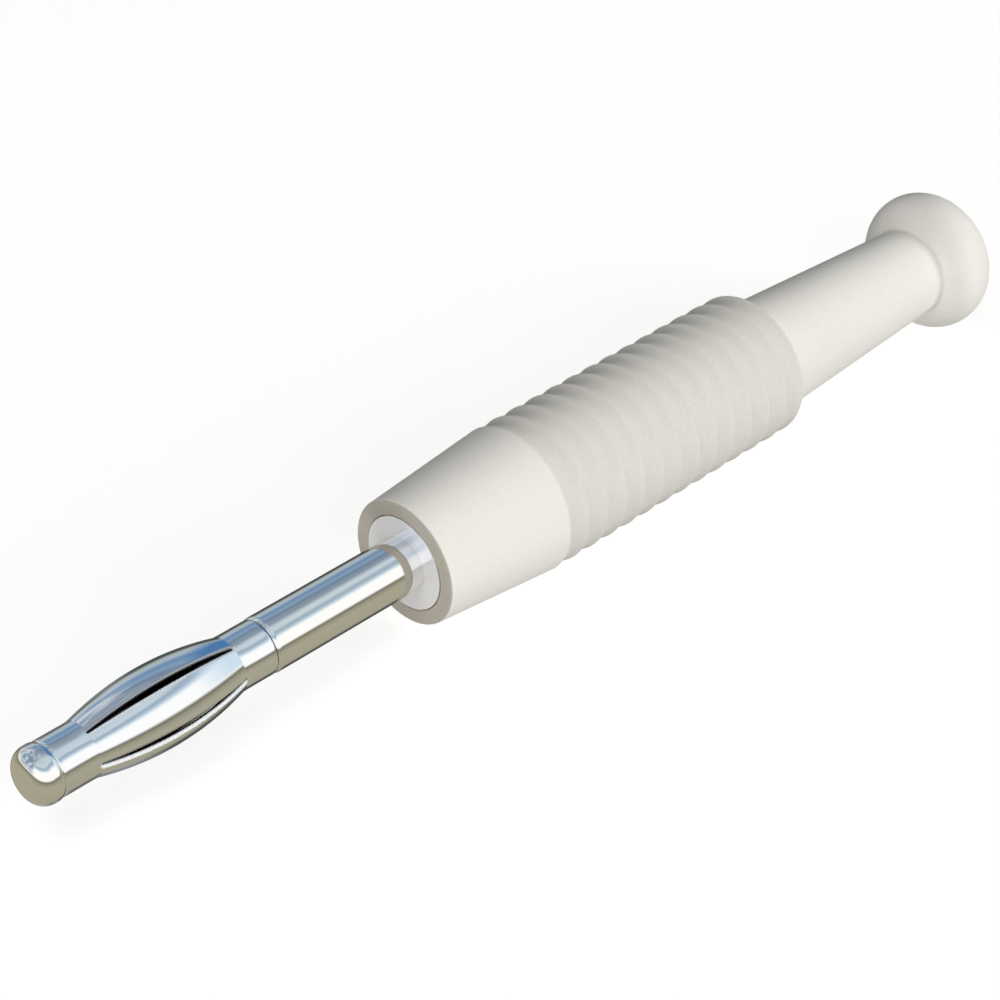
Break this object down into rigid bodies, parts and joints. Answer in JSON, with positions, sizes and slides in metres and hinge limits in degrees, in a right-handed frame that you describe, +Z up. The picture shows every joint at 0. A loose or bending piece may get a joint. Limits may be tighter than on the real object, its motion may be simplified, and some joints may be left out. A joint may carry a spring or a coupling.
{
  "type": "banana plug",
  "caption": "Miniature banana plug: slim nickel-plated pin with a bowed-leaf lantern spring, and a white slip-on sleeve with a cone, ribbed grip, tapered tail and end bead.",
  "frame": {"origin": "centre of the contact's shoulder, flush with the front face of the sleeve, where the plug stops against a socket", "axes": "+X along the plug from the pin to the lead, +Z up as it sits in a vertical socket panel"},
  "size_m": [0.0516, 0.0062, 0.0062],
  "materials": {
    "nickel_plate": "turned brass with bright nickel plate",
    "spring_sheet": "rolled copper-alloy spring sheet with bright nickel plate",
    "white_plastic": "moulded warm white thermoplastic, satin, finely grained on the grip"
  },
  "bodies": {
    "contact": {"contact_pin": "nickel_plate"},
    "spring": {"lantern_spring": "spring_sheet"},
    "sleeve": {"insulating_sleeve": "white_plastic"}
  },
  "joints": [
    {"name": "lantern_spin", "type": "hinge", "parent": "contact", "child": "spring", "pos_m": [-0.01211, 0, 0], "axis": [1, 0, 0], "continuous": true},
    {"name": "sleeve_slide", "type": "slide", "parent": "contact", "child": "sleeve", "axis": [1, 0, 0], "range_m": [0, 0.017]}
  ]
}
